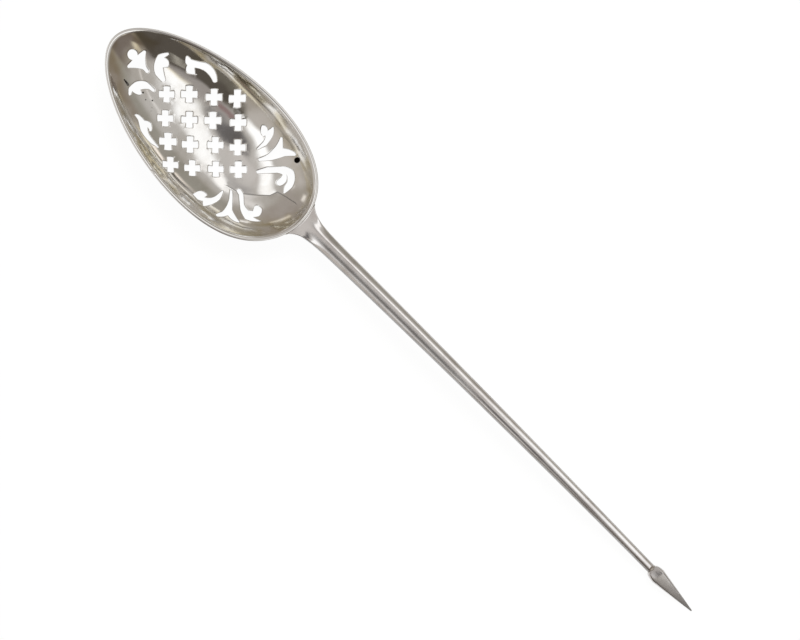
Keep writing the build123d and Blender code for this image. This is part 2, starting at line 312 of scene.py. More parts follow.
# Points along one cut edge, from its start up to but not including its end.
def edgePoints(start, end, bow):
    start, end = np.array(start), np.array(end)
    chord = end - start
    length = math.hypot(*chord)
    along = chord / length
    out = np.array([along[1], -along[0]])
    count = max(2, round((length + abs(bow)) / net["edgeStep"]))
    shares = np.arange(count) / count
    if not bow:
        return start + shares[:, None] * chord
    half = 2 * math.atan(2 * bow / length)
    radius = length / 2 / math.sin(half)
    turns = half * (2 * shares - 1)
    centre = (start + end) / 2 - out * radius * math.cos(half)
    return (
        centre + radius * np.sin(turns)[:, None] * along + radius * np.cos(turns)[:, None] * out
    )


def tracedOutline(corners):
    edges = zip(corners, corners[1:] + corners[:1])
    return np.vstack([edgePoints(start[:2], end[:2], start[2]) for start, end in edges])


def crossCorners(x, y, size):
    root, reach, tip = cross["root"], cross["reach"], cross["tip"]
    arm = [(root, -root, 0), (reach, -tip, cross["bow"]), (reach, tip, 0)]
    corners = []
    for quarter in range(4):
        turn = math.radians(45 + 90 * quarter)
        cosTurn, sinTurn = math.cos(turn), math.sin(turn)
        for out, side, bow in arm:
            corners.append((x + size * (out * cosTurn - side * sinTurn),
                            y + size * (out * sinTurn + side * cosTurn), bow))
    return corners


def allOutlines():
    outlines = [tracedOutline(corners) for corners in ornaments.values()]
    for i in range(cross["rows"]):
        for j in range(cross["rows"]):
            x = cross["middle"] + (i + j - cross["rows"] + 1) * cross["along"]
            y = (i - j) * cross["across"]
            index = cross["rows"] * i + j
            shift = cross["shifts"][index]
            corners = crossCorners(x + shift[0], y + shift[1], cross["sizes"][index])
            outlines.append(tracedOutline(corners))
    return outlines


# Helpers for places seen from above.


def distanceTo(points, starts, ends):
    best = np.zeros(len(points))
    span = ends - starts
    lengths = np.sum(span * span, axis=1)
    batch = 1500  # points measured at once, which saves memory
    for first in range(0, len(points), batch):
        part = points[first:first + batch, None, :] - starts[None]
        share = np.clip(np.sum(part * span, axis=2) / lengths, 0, 1)
        gap = part - share[..., None] * span
        best[first:first + batch] = np.sqrt(np.min(np.sum(gap * gap, axis=2), axis=1))
    return best


def isInside(points, outline):
    x, y = points[:, 0], points[:, 1]
    result = np.zeros(len(points), bool)
    near = (
        (x > outline[:, 0].min()) & (x < outline[:, 0].max())
        & (y > outline[:, 1].min()) & (y < outline[:, 1].max())
    )
    px, py = x[near], y[near]
    odd = np.zeros(len(px), bool)
    for (ax, ay), (bx, by) in zip(outline, np.roll(outline, -1, axis=0)):
        crossing = (ay > py) != (by > py)
        if by != ay:
            odd ^= crossing & (px < ax + (py - ay) * (bx - ax) / (by - ay))
    result[near] = odd
    return result


# The bowl's mesh.

net = {
    "around": 480,  # points round the rim
    "edgeStep": 0.14,  # along a cut
    "besideCut": (0.03, 0.09, 0.2),  # rows of points beside each cut
    "rowShare": 0.85,  # a row leaves out points nearer to a cut than this share of its offset
    "gridStep": 0.5,
    "gridToRim": 0.4,  # in steps of the grid
    "gridToCut": 0.36, "gridToPit": 0.25, "gridToSpeck": 0.15, "gridToCrease": 0.1,
    "pitPoints": 36,
    "pitRows": (0.12, 0.04, 0, -0.03, -0.08),  # from its radius
    "speckRows": (-0.04, 0.06),
    "speckEvery": 4,  # a speck's rows take every fourth of the pit's directions
    "speckToCut": 0.03, "creaseToCut": 0.1, "weld": 1e-5,
    "cutRows": (0.1, 0.5, 0.9),  # shares of the wall, down the side of a cut
    "planReach": 0.965,  # the plan ends here, and rings lead on over the rim
    "innerRows": (0.972, 0.979), "bandStart": 0.985, "bandEnd": 0.988,
    "bendRows": (0, 0.2, 0.4, 0.6, 0.8, 1), "outerRows": (0.12, 0.27, 0.45, 0.65, 0.83),
}

# What polishing leaves behind, and the painted shade at the specks and on the cut walls: 1 is the
# darkest grime or painted shade, or the fullest stain.
tarnishAndShade = {
    "speckEdge": (-0.04, 0.06), "cutShade": 0.35,
    "underGrime": 0.4,  # under the bowl beside a cut
    "underReach": 0.2, "insideRim": 0.8, "insideReach": (0.76, 0.93), "underside": 0.5,
    "rubbed": -1.0,  # here even the film is gone
}

# Dark specks in the hollow: painted shade. A speck is (station, side, radius, darkness).
specks = [
    (11.49, -3.27, 0.11, 0.8), (12.37, -2.5, 0.13, 0.9), (13.17, -3.4, 0.08, 0.45),
    (13.5, -3.95, 0.07, 0.4), (10.8, -1.42, 0.1, 0.6), (6.6, -3.7, 0.13, 1.0),
    (6.9, -3.72, 0.17, 0.95), (7.2, -3.75, 0.2, 0.9), (7.55, -3.8, 0.24, 0.75),
    (9.62, -2.42, 0.16, 0.95), (10.3, -2.76, 0.16, 0.9), (9.2, -3.8, 0.13, 0.8),
]
# The crease's dark line is painted shade along the fold.
crease = {  # a bend in the metal beside the heel, dark where it folds
    "path": [(31.75, -3.33), (34.2, -2.72), (36.2, -1.1), (38.1, 0.62), (38.6, 1.95),
             (40.05, 2.26), (42.2, 2.53)],
    "depth": 0.03, "width": 0.35, "darkness": 0.75, "lineWidth": 0.11, "step": 0.16,
    "flanks": (-0.5, -0.28, -0.12, 0, 0.12, 0.28, 0.5),
}


def creasePoints():
    rows = []
    for start, end in zip(crease["path"], crease["path"][1:]):
        start, end = np.array(start), np.array(end)
        length = math.hypot(*(end - start))
        beside = np.array([start[1] - end[1], end[0] - start[0]]) / length
        shares = np.arange(0, 1, crease["step"] / length)[:, None]
        for flank in crease["flanks"]:
            rows.append(start + (end - start) * shares + beside * flank)
    return np.vstack(rows)


def fromCrease(points):
    path = np.array(crease["path"])
    return distanceTo(points, path[:-1], path[1:])


def relief(x, y, reach):
    fade = 1 - smoothStep(*bowl["rippleFade"], reach)
    total = ripples(x, y, bowl["ripple"]) * fade
    fold = fromCrease(np.column_stack([x, y])) / crease["width"]
    return total - crease["depth"] * np.exp(-fold**2)


def cutDrop(distance, radius):
    left = np.clip(radius - distance, 0, radius)
    return radius - np.sqrt(radius**2 - left**2)


# Rows of points just outside each cut.
def besideCuts(starts, ends):
    along = ends - starts
    outward = np.stack([along[:, 1], -along[:, 0]], axis=1)
    outward /= np.linalg.norm(outward, axis=1)[:, None]
    rows = []
    for offset in net["besideCut"]:
        row = (starts + ends) / 2 + outward * offset
        rows.append(row[distanceTo(row, starts, ends) > offset * net["rowShare"]])
    return rows


# Points round the pit, the specks and the crease, which keep their edges clean.
def besideMarks(starts, ends):
    turns = np.linspace(0, math.tau, net["pitPoints"], endpoint=False)
    circle = np.stack([np.cos(turns), np.sin(turns)], axis=1)
    radii = [pit["radius"] + offset for offset in net["pitRows"]]
    radii.append(pit["radius"] / 2)
    rows = [np.array(pit["at"]) + circle * radius for radius in radii]
    rows.append(np.array([pit["at"]]))
    fewer = circle[::net["speckEvery"]]
    for x, y, radius, _ in specks:
        row = [np.array([(x, y)])]
        row += [np.array((x, y)) + fewer * (radius + offset) for offset in net["speckRows"]]
        row = np.vstack(row)
        rows.append(row[distanceTo(row, starts, ends) > net["speckToCut"]])
    folded = creasePoints()
    rows.append(folded[distanceTo(folded, starts, ends) > net["creaseToCut"]])
    return rows


# An even grid, clear of the rim, the cuts and the marks.
def gridPoints(boundary, starts, ends):
    step = net["gridStep"]
    xs = np.arange(0, bowl["length"], step)
    ys = np.arange(-bowl["width"] / 2, bowl["width"] / 2, step * math.sqrt(0.75))
    grid = np.array([(x + step / 2 * (j % 2), y) for j, y in enumerate(ys) for x in xs])
    grid = grid[isInside(grid, boundary)]
    toRim = distanceTo(grid, boundary, np.roll(boundary, -1, axis=0))
    grid = grid[toRim > step * net["gridToRim"]]
    grid = grid[distanceTo(grid, starts, ends) > net["gridToCut"]]
    marks = [(pit["at"], pit["radius"] + net["gridToPit"])]
    marks += [((x, y), radius + net["gridToSpeck"]) for x, y, radius, _ in specks]
    for at, clear in marks:
        grid = grid[np.linalg.norm(grid - at, axis=1) > clear]
    return grid[fromCrease(grid) > crease["flanks"][-1] + net["gridToCrease"]]


# Joins the plan's points into triangles and leaves the cuts open. Also gives the rim's loop of
# points and one for each cut.
def joinPlan(plan, boundary, outlines):
    loops = []
    first = 0
    for outline in [boundary] + outlines:
        loops.append(list(range(first, first + len(outline))))
        first += len(outline)
    edges = [pair for loop in loops for pair in zip(loop, loop[1:] + loop[:1])]
    flat = [Vector(point) for point in plan.tolist()]
    got = delaunay_2d_cdt(flat, edges, [], 0, net["weld"], True)
    placed = np.array([tuple(point) for point in got[0]])
    newIndex = {origin: index for index, origins in enumerate(got[3]) for origin in origins}
    triangles = np.array(got[2])
    centres = placed[triangles].mean(axis=1)
    keep = isInside(centres, boundary)
    for outline in outlines:
        keep &= ~isInside(centres, outline)
    triangles = triangles[keep]
    print("bowl plan has", len(placed), "points and", len(triangles), "triangles")
    loops = [[newIndex[i] for i in loop] for loop in loops]
    return placed, triangles.tolist(), loops[0], loops[1:]


# Up the inner wall, over the flat band with its two rounded edges, and down outside. Each ring
# comes with its stain, and the band is rubbed bright.
def rimRings(angles, boundary):
    wobble = 1 + ripples(angles * bowl["rimSpan"], angles * 0, bowl["rimRipple"])[:, None]
    innerLip, outerLip = cupRing(1, inside, angles), cupRing(1, outside, angles)
    band = outerLip - innerLip
    lipShare = bowl["rimRounding"] * wobble
    rings = [cupRing(reach, inside, angles) for reach in net["innerRows"]]
    bends = [
        (cupRing(net["bandStart"], inside, angles), innerLip, innerLip + band * lipShare),
        (outerLip - band * lipShare, outerLip, cupRing(net["bandEnd"], outside, angles)),
    ]
    for start, corner, end in bends:
        for u in net["bendRows"]:
            rings.append((1 - u)**2 * start + 2 * u * (1 - u) * corner + u * u * end)
    rings = [onSpoon(*ring.T) for ring in rings]
    last = rings[-1]
    for u in net["outerRows"]:
        place = last[:, :2] + (boundary - last[:, :2]) * u
        rings.append(np.column_stack([place, surfaceOver(*place.T, outside)[0]]))
    stains = [tarnishAndShade["insideRim"]] * (len(net["innerRows"]) + 1)
    stains += [tarnishAndShade["rubbed"]] * (2 * len(net["bendRows"]) - 2)
    stains += [tarnishAndShade["underside"]] * (len(net["outerRows"]) + 1)
    return zip(rings, stains)


# How dark the hollow is painted at each place of the plan: painted shade in the pit, at the specks
# and along the crease.
def hollowShade(placed, fromPit):
    grimeAndShade = roundMark(fromPit, pit["radius"], pit["darkEdge"])
    for x, y, radius, darkness in specks:
        gap = np.hypot(placed[:, 0] - x, placed[:, 1] - y)
        grimeAndShade = np.maximum(grimeAndShade, darkness * roundMark(gap, radius, tarnishAndShade["speckEdge"]))
    line = 1 - smoothStep(0, crease["lineWidth"], fromCrease(placed))
    return np.maximum(grimeAndShade, crease["darkness"] * line)


# Adds points with their marks to a list of rows, and gives the points' indices.
def addRow(rows, points, grimeAndShade, stain):
    first = sum(len(row) for row in rows)
    marks = [np.full(len(points), mark) for mark in (grimeAndShade, stain)]
    rows.append(np.column_stack([points] + marks))
    return list(range(first, first + len(points)))


def makeBowl(material):
    angles = np.linspace(0, math.tau, net["around"], endpoint=False)
    boundary = onSpoon(*cupRing(net["planReach"], inside, angles).T)[:, :2]
    outlines = allOutlines()
    starts = np.vstack(outlines)
    ends = np.vstack([np.roll(outline, -1, axis=0) for outline in outlines])
    plan = np.vstack([boundary, starts] + besideCuts(starts, ends) + besideMarks(starts, ends)
                     + [gridPoints(boundary, starts, ends)])
    placed, triangles, rim, cuts = joinPlan(plan, boundary, outlines)

    x, y = placed.T
    toCut = distanceTo(placed, starts, ends)
    fromPit = np.linalg.norm(placed - pit["at"], axis=1)
    upper, reach = surfaceOver(x, y, inside)
    under, _ = surfaceOver(x, y, outside)
    rounding = bowl["cutRounding"]
    upper = upper + relief(x, y, reach) - cutDrop(toCut, rounding)
    upper -= pit["depth"] * roundMark(fromPit, pit["radius"], pit["edge"])
    under = np.maximum(under, 0) + cutDrop(toCut, rounding * bowl["underRounding"])

    size = len(placed)
    rows = []
    insideStain = tarnishAndShade["insideRim"] * smoothStep(*tarnishAndShade["insideReach"], reach)
    addRow(rows, np.column_stack([x, y, upper]), hollowShade(placed, fromPit), insideStain)
    underGrime = tarnishAndShade["underGrime"] * np.exp(-toCut / tarnishAndShade["underReach"])
    addRow(rows, np.column_stack([x, y, under]), underGrime, tarnishAndShade["underside"])
    faces = [tuple(corners) for corners in triangles]
    faces += [(c + size, b + size, a + size) for a, b, c in triangles]
    # The walls of the cuts are painted darker: painted shade in the cuts.
    for top in cuts:
        levels = [top]
        for share in net["cutRows"]:
            side = np.column_stack([placed[top], upper[top] + (under[top] - upper[top]) * share])
            levels.append(addRow(rows, side, tarnishAndShade["cutShade"], 0))
        levels.append([i + size for i in top])
        for above, below in zip(levels, levels[1:]):
            faces += joinLoops(above, below)
    previous = rim
    for ring, stain in rimRings(angles, boundary):
        current = addRow(rows, ring, 0, stain)
        faces += joinLoops(previous, current)
        previous = current
    faces += joinLoops(previous, [i + size for i in rim])
    rows = np.vstack(rows)
    piece = addPiece("piercedBowl", rows[:, :3], faces, material, "bowl")
    addLayer(piece, "grimeAndShade", rows[:, 3])
    addLayer(piece, "stain", rows[:, 4])


# The stem's form.

stem = {
    "width": 3.3,
    "height": 2.4,
    "endDiameter": 1.5,
    "taper": 1.15,  # above 1, it thins sooner
    "offset": 1.05,  # it leaves the bowl to one side of its middle
    "drift": 0.5,  # and ends this much further out
    "leaving": math.radians(3.0),  # how steeply it rises from the bowl
    "flareWidth": 2.4,
    "flareReach": 1.7,
    "flareInside": 1.0,  # the flare stops widening this far inside the heel
    "flareLean": 0.22,
    "flareLeanReach": 2.4,
    "flareThinning": 4.0,
    "softness": (0.06, 0.3),  # how round its edges are at the bowl and at the point
    "crownRadius": 2.3,  # its broad sides are gently rounded
    "crownStart": 1.6,
    "roll": math.radians(2.2),  # it is twisted a little half way
    "rollAt": 86.0,
    "rollReach": 14.0,
    "webThickness": 0.3,  # how thin the flare's sides are beside the stem's middle
    "webStart": 0.3,  # share of the stem's plain width
    "webEnd": 0.45,  # share of the flare
    "webNeeds": 1.2,  # where the flare is less wide, the web is less thin
    # The stem's sides are painted darker: painted shade along its edges.
    "edgeShade": 0.5,
    "edgeArc": (0.2, 0.9),
    "edgeStart": 3.0,
    # The streak is a painted dark reflection down the stem's upper side.
    "shadeStreak": 0.66,  # a dull dark streak down its upper side
    "shadeStreakSide": 0.55,
    "shadeStreakWidth": 0.34,
    "shadeStreakRun": (46.0, 52.0, 78.0, 94.0),  # it starts, is full, starts to fade, ends
    "stations": 300,
    "crowding": 1.7,  # above 1, the stations are closer near the bowl
    "cornerPoints": 8,
    "broadPoints": 11,
    "sidePoints": 5,
}
# A search along the stem for the bowl's outside, and how far the stem is sunk in there.
seat = {"from": 1.5, "to": -4.0, "step": 0.02, "sunk": 0.03}
stemEnd = spoon["length"] - spoon["pointLength"]
point = {
    "width": 2.78,
    "thickness": 1.7,
    "tipWidth": 0.22,
    "tipRounding": 0.5,
    "shoulder": 1.7,
    "flatShare": 0.8,
    "edgeShare": 0.6,
    "cornerCuts": (0.12, 0.25, 0.25),
    "roll": math.radians(13),  # its face looks a little to one side
    "tipDarkening": 0.5,
    "leastDarkening": 0.4,  # share of it that the shoulder has
    "shoulderRings": 18,
    "bladeRings": 50,
    "margin": 0.002,  # it stays this far inside the spoon's box
}
pointBase = (
    point["tipWidth"] / 2 * math.cos(spoon["landing"])
    + spoon["pointLength"] * math.tan(spoon["landing"])
)


def stemSize(x):
    u = np.maximum((x - heel) / (stemEnd - heel), 0)
    plain = stem["endDiameter"] + (stem["width"] - stem["endDiameter"]) * (1 - u) ** stem["taper"]
    fromHeel = np.maximum(x - heel, -stem["flareInside"])
    flare = stem["flareWidth"] * np.exp(-fromHeel / stem["flareReach"])
    height = stem["height"] + (stem["endDiameter"] - stem["height"]) * u
    height = height * np.exp(np.minimum(x - heel, 0) / stem["flareThinning"])
    soft = stem["softness"][0] + (stem["softness"][1] - stem["softness"][0]) * u
    return plain, flare, height, soft


def stemTop(x):
    u = (x - heel) / (stemEnd - heel)
    run = stemEnd - heel
    endHeight = pointBase + stem["endDiameter"] / 2
    rise = math.tan(stem["leaving"]) * run
    fall = -math.tan(spoon["landing"]) * run
    arch = (
        (2 * u**3 - 3 * u**2 + 1) * heelHeight + (u**3 - 2 * u**2 + u) * rise
        + (3 * u**2 - 2 * u**3) * endHeight + (u**3 - u**2) * fall
    )
    return np.where(x < heel, heelHeight + (heel - x) * math.tan(bowl["tipLift"]), arch)


def stemSide(x):
    u = (x - heel) / (stemEnd - heel)
    pull = stem["flareLean"] * np.exp(-(x - heel) / stem["flareLeanReach"])
    return stem["offset"] + stem["drift"] * u - pull


# One line along the stem, for a place on its rounded section. It gives its side and height.
def stemLine(x, line):
    flatY, flatZ, arcY, arcZ = line
    plain, flare, height, soft = stemSize(x)
    width = plain + flare
    radius = soft * np.minimum(width, height)
    y = flatY * (width / 2 - radius) + arcY * radius
    z = flatZ * (height / 2 - radius) + arcZ * radius
    across = np.abs(y) * plain / (plain + flare)
    sag = stem["crownRadius"] - np.sqrt(stem["crownRadius"]**2 - across**2)
    sag = sag * (1 - np.exp(-np.maximum(x - heel, 0) / stem["crownStart"]))
    roll = stem["roll"] * np.exp(-((x - stem["rollAt"]) / stem["rollReach"]) ** 2)
    fromTop = height / 2 - z * (1 - 2 * sag / height) + y * roll
    webStart = plain * stem["webStart"]
    webEnd = plain * 0.5 + flare * stem["webEnd"] + 0.01  # never quite on the start
    thin = stem["webThickness"] + (1 - stem["webThickness"]) * (
        1 - smoothStep(webStart, webEnd, np.abs(y))
    )
    thin = 1 + (thin - 1) * np.clip(flare / stem["webNeeds"], 0, 1)
    return stemSide(x) + y, stemTop(x) - fromTop * thin


def stemLines():
    lines = []
    corners = [(1, 1), (-1, 1), (-1, -1), (1, -1)]
    steps = stem["cornerPoints"] - 1
    for i, (y, z) in enumerate(corners):
        for j in range(steps + 1):
            turn = math.radians(90 * i + 90 * j / steps)
            lines.append((y, z, math.cos(turn), math.sin(turn)))
        nextY, nextZ = corners[(i + 1) % 4]
        turn = math.radians(90 * (i + 1))
        between = stem["broadPoints"] if z == nextZ else stem["sidePoints"]
        for j in range(1, between + 1):
            share = j / (between + 1)
            lines.append((y + (nextY - y) * share, z + (nextZ - z) * share,
                          math.cos(turn), math.sin(turn)))
    return lines


# Where a line along the stem meets the bowl's outside.
def lineStart(line):
    x = heel + seat["from"]
    while x > heel + seat["to"]:
        y, z = stemLine(x, line)
        if surfaceOver(x, y, outside)[0] < z:
            break
        x -= seat["step"]
    return x - seat["sunk"]


# Gives the stem's first ring of points, where the heel's solder goes.
def makeStem(material):
    lines = stemLines()
    shares = np.linspace(0, 1, stem["stations"]) ** stem["crowding"]
    columns = []
    for line in lines:
        start = lineStart(line)
        x = start + (stemEnd - start) * shares
        y, z = stemLine(x, line)
        columns.append(np.stack([x, y, z], axis=-1))
    rings = np.stack(columns, axis=1)
    points, faces = skin(rings)
    piece = addPiece("taperingStem", points, faces, material, "stem")
    x, y = rings[..., 0], rings[..., 1]
    # Painted shade along the sides and a painted dark reflection down the upper side.
    onEdge = smoothStep(*stem["edgeArc"], np.abs([arcY for _, _, arcY, _ in lines]))
    edges = stem["edgeShade"] * onEdge * smoothStep(0, stem["edgeStart"], x - heel)
    starts, full, fades, ends = stem["shadeStreakRun"]
    run = smoothStep(starts, full, x) * (1 - smoothStep(fades, ends, x))
    across = (y - stemSide(x) + stem["shadeStreakSide"]) / stem["shadeStreakWidth"]
    onTop = np.array([flatZ > 0.5 for _, flatZ, _, _ in lines])
    shadeStreak = stem["shadeStreak"] * run * np.exp(-across**2) * onTop
    addLayer(piece, "grimeAndShade", np.maximum(edges, shadeStreak))
    return rings[0]


# The point.


def onPoint(x, y, z):
    cosDown, sinDown = math.cos(spoon["landing"]), math.sin(spoon["landing"])
    side = stem["offset"] + stem["drift"]
    return np.stack([stemEnd + x * cosDown + z * sinDown, side + y,
                     pointBase - x * sinDown + z * cosDown], axis=-1)


# Cuts the corners of a closed ring of points.
def trimmed(ring, share):
    following = np.roll(ring, -1, axis=0)
    return np.stack([ring + (following - ring) * share, following + (ring - following) * share],
                    axis=1).reshape(-1, 2)


def pointSection(halfWide, halfHigh):
    flat = halfWide * point["flatShare"]
    edge = halfHigh * point["edgeShare"]
    corners = np.array([
        (halfWide, edge), (flat, halfHigh), (-flat, halfHigh), (-halfWide, edge),
        (-halfWide, -edge), (-flat, -halfHigh), (flat, -halfHigh), (halfWide, -edge),
    ])
    for share in point["cornerCuts"]:
        corners = trimmed(corners, share)
    return corners


def makePoint(material):
    start = stem["endDiameter"] / 2
    tip = point["tipWidth"] / 2
    halfWide, halfHigh = point["width"] / 2, point["thickness"] / 2
    length = (spoon["pointLength"] - tip * math.sin(spoon["landing"])) / math.cos(spoon["landing"])
    rings = []
    for share in np.linspace(0, 1, point["shoulderRings"]):
        turn = math.pi / 2 * share
        wide = start + (halfWide - start) * math.sin(turn)
        high = start + (halfHigh - start) * math.sin(turn)
        rings.append((point["shoulder"] * (1 - math.cos(turn)), wide, high))
    for share in np.linspace(0, 1, point["bladeRings"])[1:]:
        x = point["shoulder"] + (length - point["shoulder"]) * share
        rings.append((x, halfWide + (tip - halfWide) * share, halfHigh + (tip - halfHigh) * share))
    rings.append((length, tip * point["tipRounding"], tip * point["tipRounding"]))
    loops = []
    for x, wide, high in rings:
        side, up = pointSection(wide, high).T
        roll = min(1, x / point["shoulder"]) * point["roll"]
        cosRoll, sinRoll = math.cos(roll), math.sin(roll)
        loops.append(onPoint(np.full(len(side), x), side * cosRoll - up * sinRoll,
                             side * sinRoll + up * cosRoll))
    points, faces = skin(loops)
    points[:, 0] = np.minimum(points[:, 0], spoon["length"] - point["margin"])
    points[:, 2] = np.maximum(points[:, 2], point["margin"])
    piece = addPiece("spearPoint", points, faces, material, "point")
    # The point is drawn darker towards its tip.
    worn = smoothStep(point["shoulder"], length, np.array([ring[0] for ring in rings]))
    least = point["leastDarkening"]
    grimeAndShade = point["tipDarkening"] * (least + (1 - least) * worn)
    addLayer(piece, "grimeAndShade", np.repeat(grimeAndShade, len(loops[0])))


# The drop and the solder.

drop = {
    "length": 6.6, "width": 4.2, "endWidth": 2.8, "thickness": 0.6, "offset": 0.35,
    "rounding": 0.5, "heelGap": 0.9,
    "sunk": 0.1,  # its hidden side is this far inside the bowl's wall
    "skirt": 0.05,  # and its edge this far
    "lowest": 0.02, "noseStart": 0.02, "noseRings": 14, "bodyRings": 26, "acrossPoints": 25,
}


def makeDrop(material):
    nose = drop["endWidth"] / 2
    start = heel - drop["length"]
    bends = np.linspace(drop["noseStart"], 1, drop["noseRings"]) * math.pi / 2
    body = np.linspace(start + nose, heel - drop["heelGap"], drop["bodyRings"])[1:]
    across = np.linspace(-1, 1, drop["acrossPoints"])
    rings = []
    for x in np.concatenate([start + nose * (1 - np.cos(bends)), body]):
        if x < start + nose:
            half = math.sqrt(max(nose**2 - (start + nose - x) ** 2, 0))
        else:
            half = nose + (drop["width"] / 2 - nose) * (x - start - nose) / (heel - start - nose)
        hidden, shown = [], []
        for share in across:
            y = drop["offset"] + half * share
            hidden.append((x, y, float(surfaceOver(x, y, outside)[0]) + drop["sunk"]))
        for share in across[::-1]:
            y = drop["offset"] + half * share
            edge = float(surfaceOver(x, y, outside)[0]) + drop["skirt"]
            near = min(half * (1 - abs(share)), x - start)
            rise = 1 - (1 - min(near / drop["rounding"], 1)) ** 2
            shown.append((x, y, edge - (drop["thickness"] + drop["skirt"]) * math.sqrt(rise)))
        rings.append(hidden + shown)
    points, faces = skin(rings)
    points[:, 2] = np.maximum(points[:, 2], drop["lowest"])
    addPiece("heelDrop", points, faces, material, "heel_drop")


# A thin bead that follows an open path.
def beadRings(path, radii):
    path = np.asarray(path, float)
    turns = np.linspace(0, math.tau, heelBead["around"], endpoint=False)
    rings = []
    for i in range(len(path)):
        ahead = path[min(i + 1, len(path) - 1)] - path[max(i - 1, 0)]
        ahead /= np.linalg.norm(ahead)
        side = np.cross(ahead, (0, 0, 1.0))
        if np.linalg.norm(side) < 1e-3:  # it runs straight up here
            side = np.cross(ahead, (0, 1.0, 0))
        side /= np.linalg.norm(side)
        up = np.cross(side, ahead)
        rings.append([path[i] + radii[i] * (math.cos(a) * side + math.sin(a) * up) for a in turns])
    return rings


heelBead = {
    "radius": 0.1, "endRadius": 0.03, "around": 12,
    "belowTop": 0.12,  # it stops short of the stem's upper side
    "middle": (0.8, -0.2),  # side and height from the heel; the bead runs round this place
    "ripple": {"seed": 23, "lengths": (1.5, 5), "height": 0.02}, "rippleStep": 0.4,
}


def makeHeelSolder(material, joint):
    side, height = heelBead["middle"]
    under = [p for p in joint if p[2] < float(stemTop(p[0])) - heelBead["belowTop"]]
    under.sort(key=lambda p: math.atan2(p[2] - heelHeight - height, p[1] - side) % math.tau)
    count = len(under)
    wobble = ripples(np.arange(count) * heelBead["rippleStep"], np.zeros(count), heelBead["ripple"])
    radii = [heelBead["radius"] + w for w in wobble]
    radii[0] = radii[-1] = heelBead["endRadius"]
    points, faces = skin(beadRings(under, radii))
    addPiece("heelSolder", points, faces, material, "heel_solder")


pointBead = {
    "length": 0.6, "height": 0.13, "sunk": 0.05,
    "fullness": 0.7,  # below 1, it stands up sooner from its edges
    "swell": {"seed": 31, "lengths": (1.0, 3.0), "height": 0.035},
    "push": {"seed": 37, "lengths": (1.0, 3.0), "height": 0.07}, "pushShare": 0.6,
    "rippleRadius": 2, "around": 60, "rings": 11,
}


def makePointSolder(material):
    radius = stem["endDiameter"] / 2 - pointBead["sunk"]
    turns = np.linspace(0, math.tau, pointBead["around"], endpoint=False)
    circle = np.cos(turns) * pointBead["rippleRadius"], np.sin(turns) * pointBead["rippleRadius"]
    swell, push = [ripples(*circle, pointBead[kind]) for kind in ("swell", "push")]
    rings = []
    for share in np.linspace(0, 1, pointBead["rings"]):
        bulge = math.sin(math.pi * share) ** pointBead["fullness"]
        x = pointBead["length"] * (share - 0.5) + push * bulge * pointBead["pushShare"]
        r = radius + (pointBead["height"] + swell) * bulge
        rings.append(onPoint(x, r * np.cos(turns), r * np.sin(turns)))
    points, faces = skin(rings)
    addPiece("pointSolder", points, faces, material, "point_solder")


# The silver.


def linear(hexColour):
    values = [int(hexColour[i:i + 2], 16) / 255 for i in (1, 3, 5)]
    flat = [v / 12.92 if v <= 0.04045 else ((v + 0.055) / 1.055) ** 2.4 for v in values]
    return (*flat, 1.0)


# Adds a node: settings are its own properties. An input is a value, a socket that feeds it, or a
# node, which stands for its first socket.
def addNode(tree, kind, settings=None, inputs=None):
    node = tree.nodes.new(kind)
    for name, value in (settings or {}).items():
        setattr(node, name, value)
    for name, value in (inputs or {}).items():
        if isinstance(value, bpy.types.Node):
            value = value.outputs[0]
        if isinstance(value, bpy.types.NodeSocket):
            tree.links.new(value, node.inputs[name])
        else:
            node.inputs[name].default_value = value
    return node


def emptyTree(owner):
    owner.use_nodes = True
    owner.node_tree.nodes.clear()
    return owner.node_tree


silverLooks = {
    "bowlSilver": {  # old sterling, polished by hand for years: soft, bright, faintly warm
        "clean": "#f3f2f0", "film": "#dedad4", "filmSize": 7.0, "roughness": (0.06, 0.12),
        "scratch": 0.05, "scratchRun": (1, 1, 1), "bump": 0.05,
    },
    "stemSilver": {  # forged, filed and polished lengthways: a cooler gloss, drawn out along it
        "clean": "#f1efee", "film": "#d9d4d2", "filmSize": 5.0, "roughness": (0.08, 0.17),
        "scratch": 0.05, "scratchRun": (0.04, 1, 1), "bump": 0.05,
    },
    "silverSolder": {  # hard solder: greyer and duller than the silver beside it
        "clean": "#c3beb5", "film": "#9d968a", "filmSize": 0.8, "roughness": (0.3, 0.45),
        "scratch": 0.1, "scratchRun": (1, 1, 1), "bump": 0.2,
    },
}
ageing = {  # the same on all three; sizes are in millimetres
    # the dark colour of the grime and of the painted shade
    "grimeAndShade": "#1c1713",
    "stain": "#d3cab0",
    "stainSize": 4.5, "stainEdge": (0.38, 0.62), "filmEdge": (0.42, 0.75),
    # the darkest grime and painted shade are also the roughest
    "dulling": 0.6,  # how much rougher the darkest grime is
    "scratchEdge": (0.3, 0.7),
    "scratchGrowth": 4,  # real scratches are too fine to show, so they are drawn this much larger
    "scratchDepth": 0.02,
}


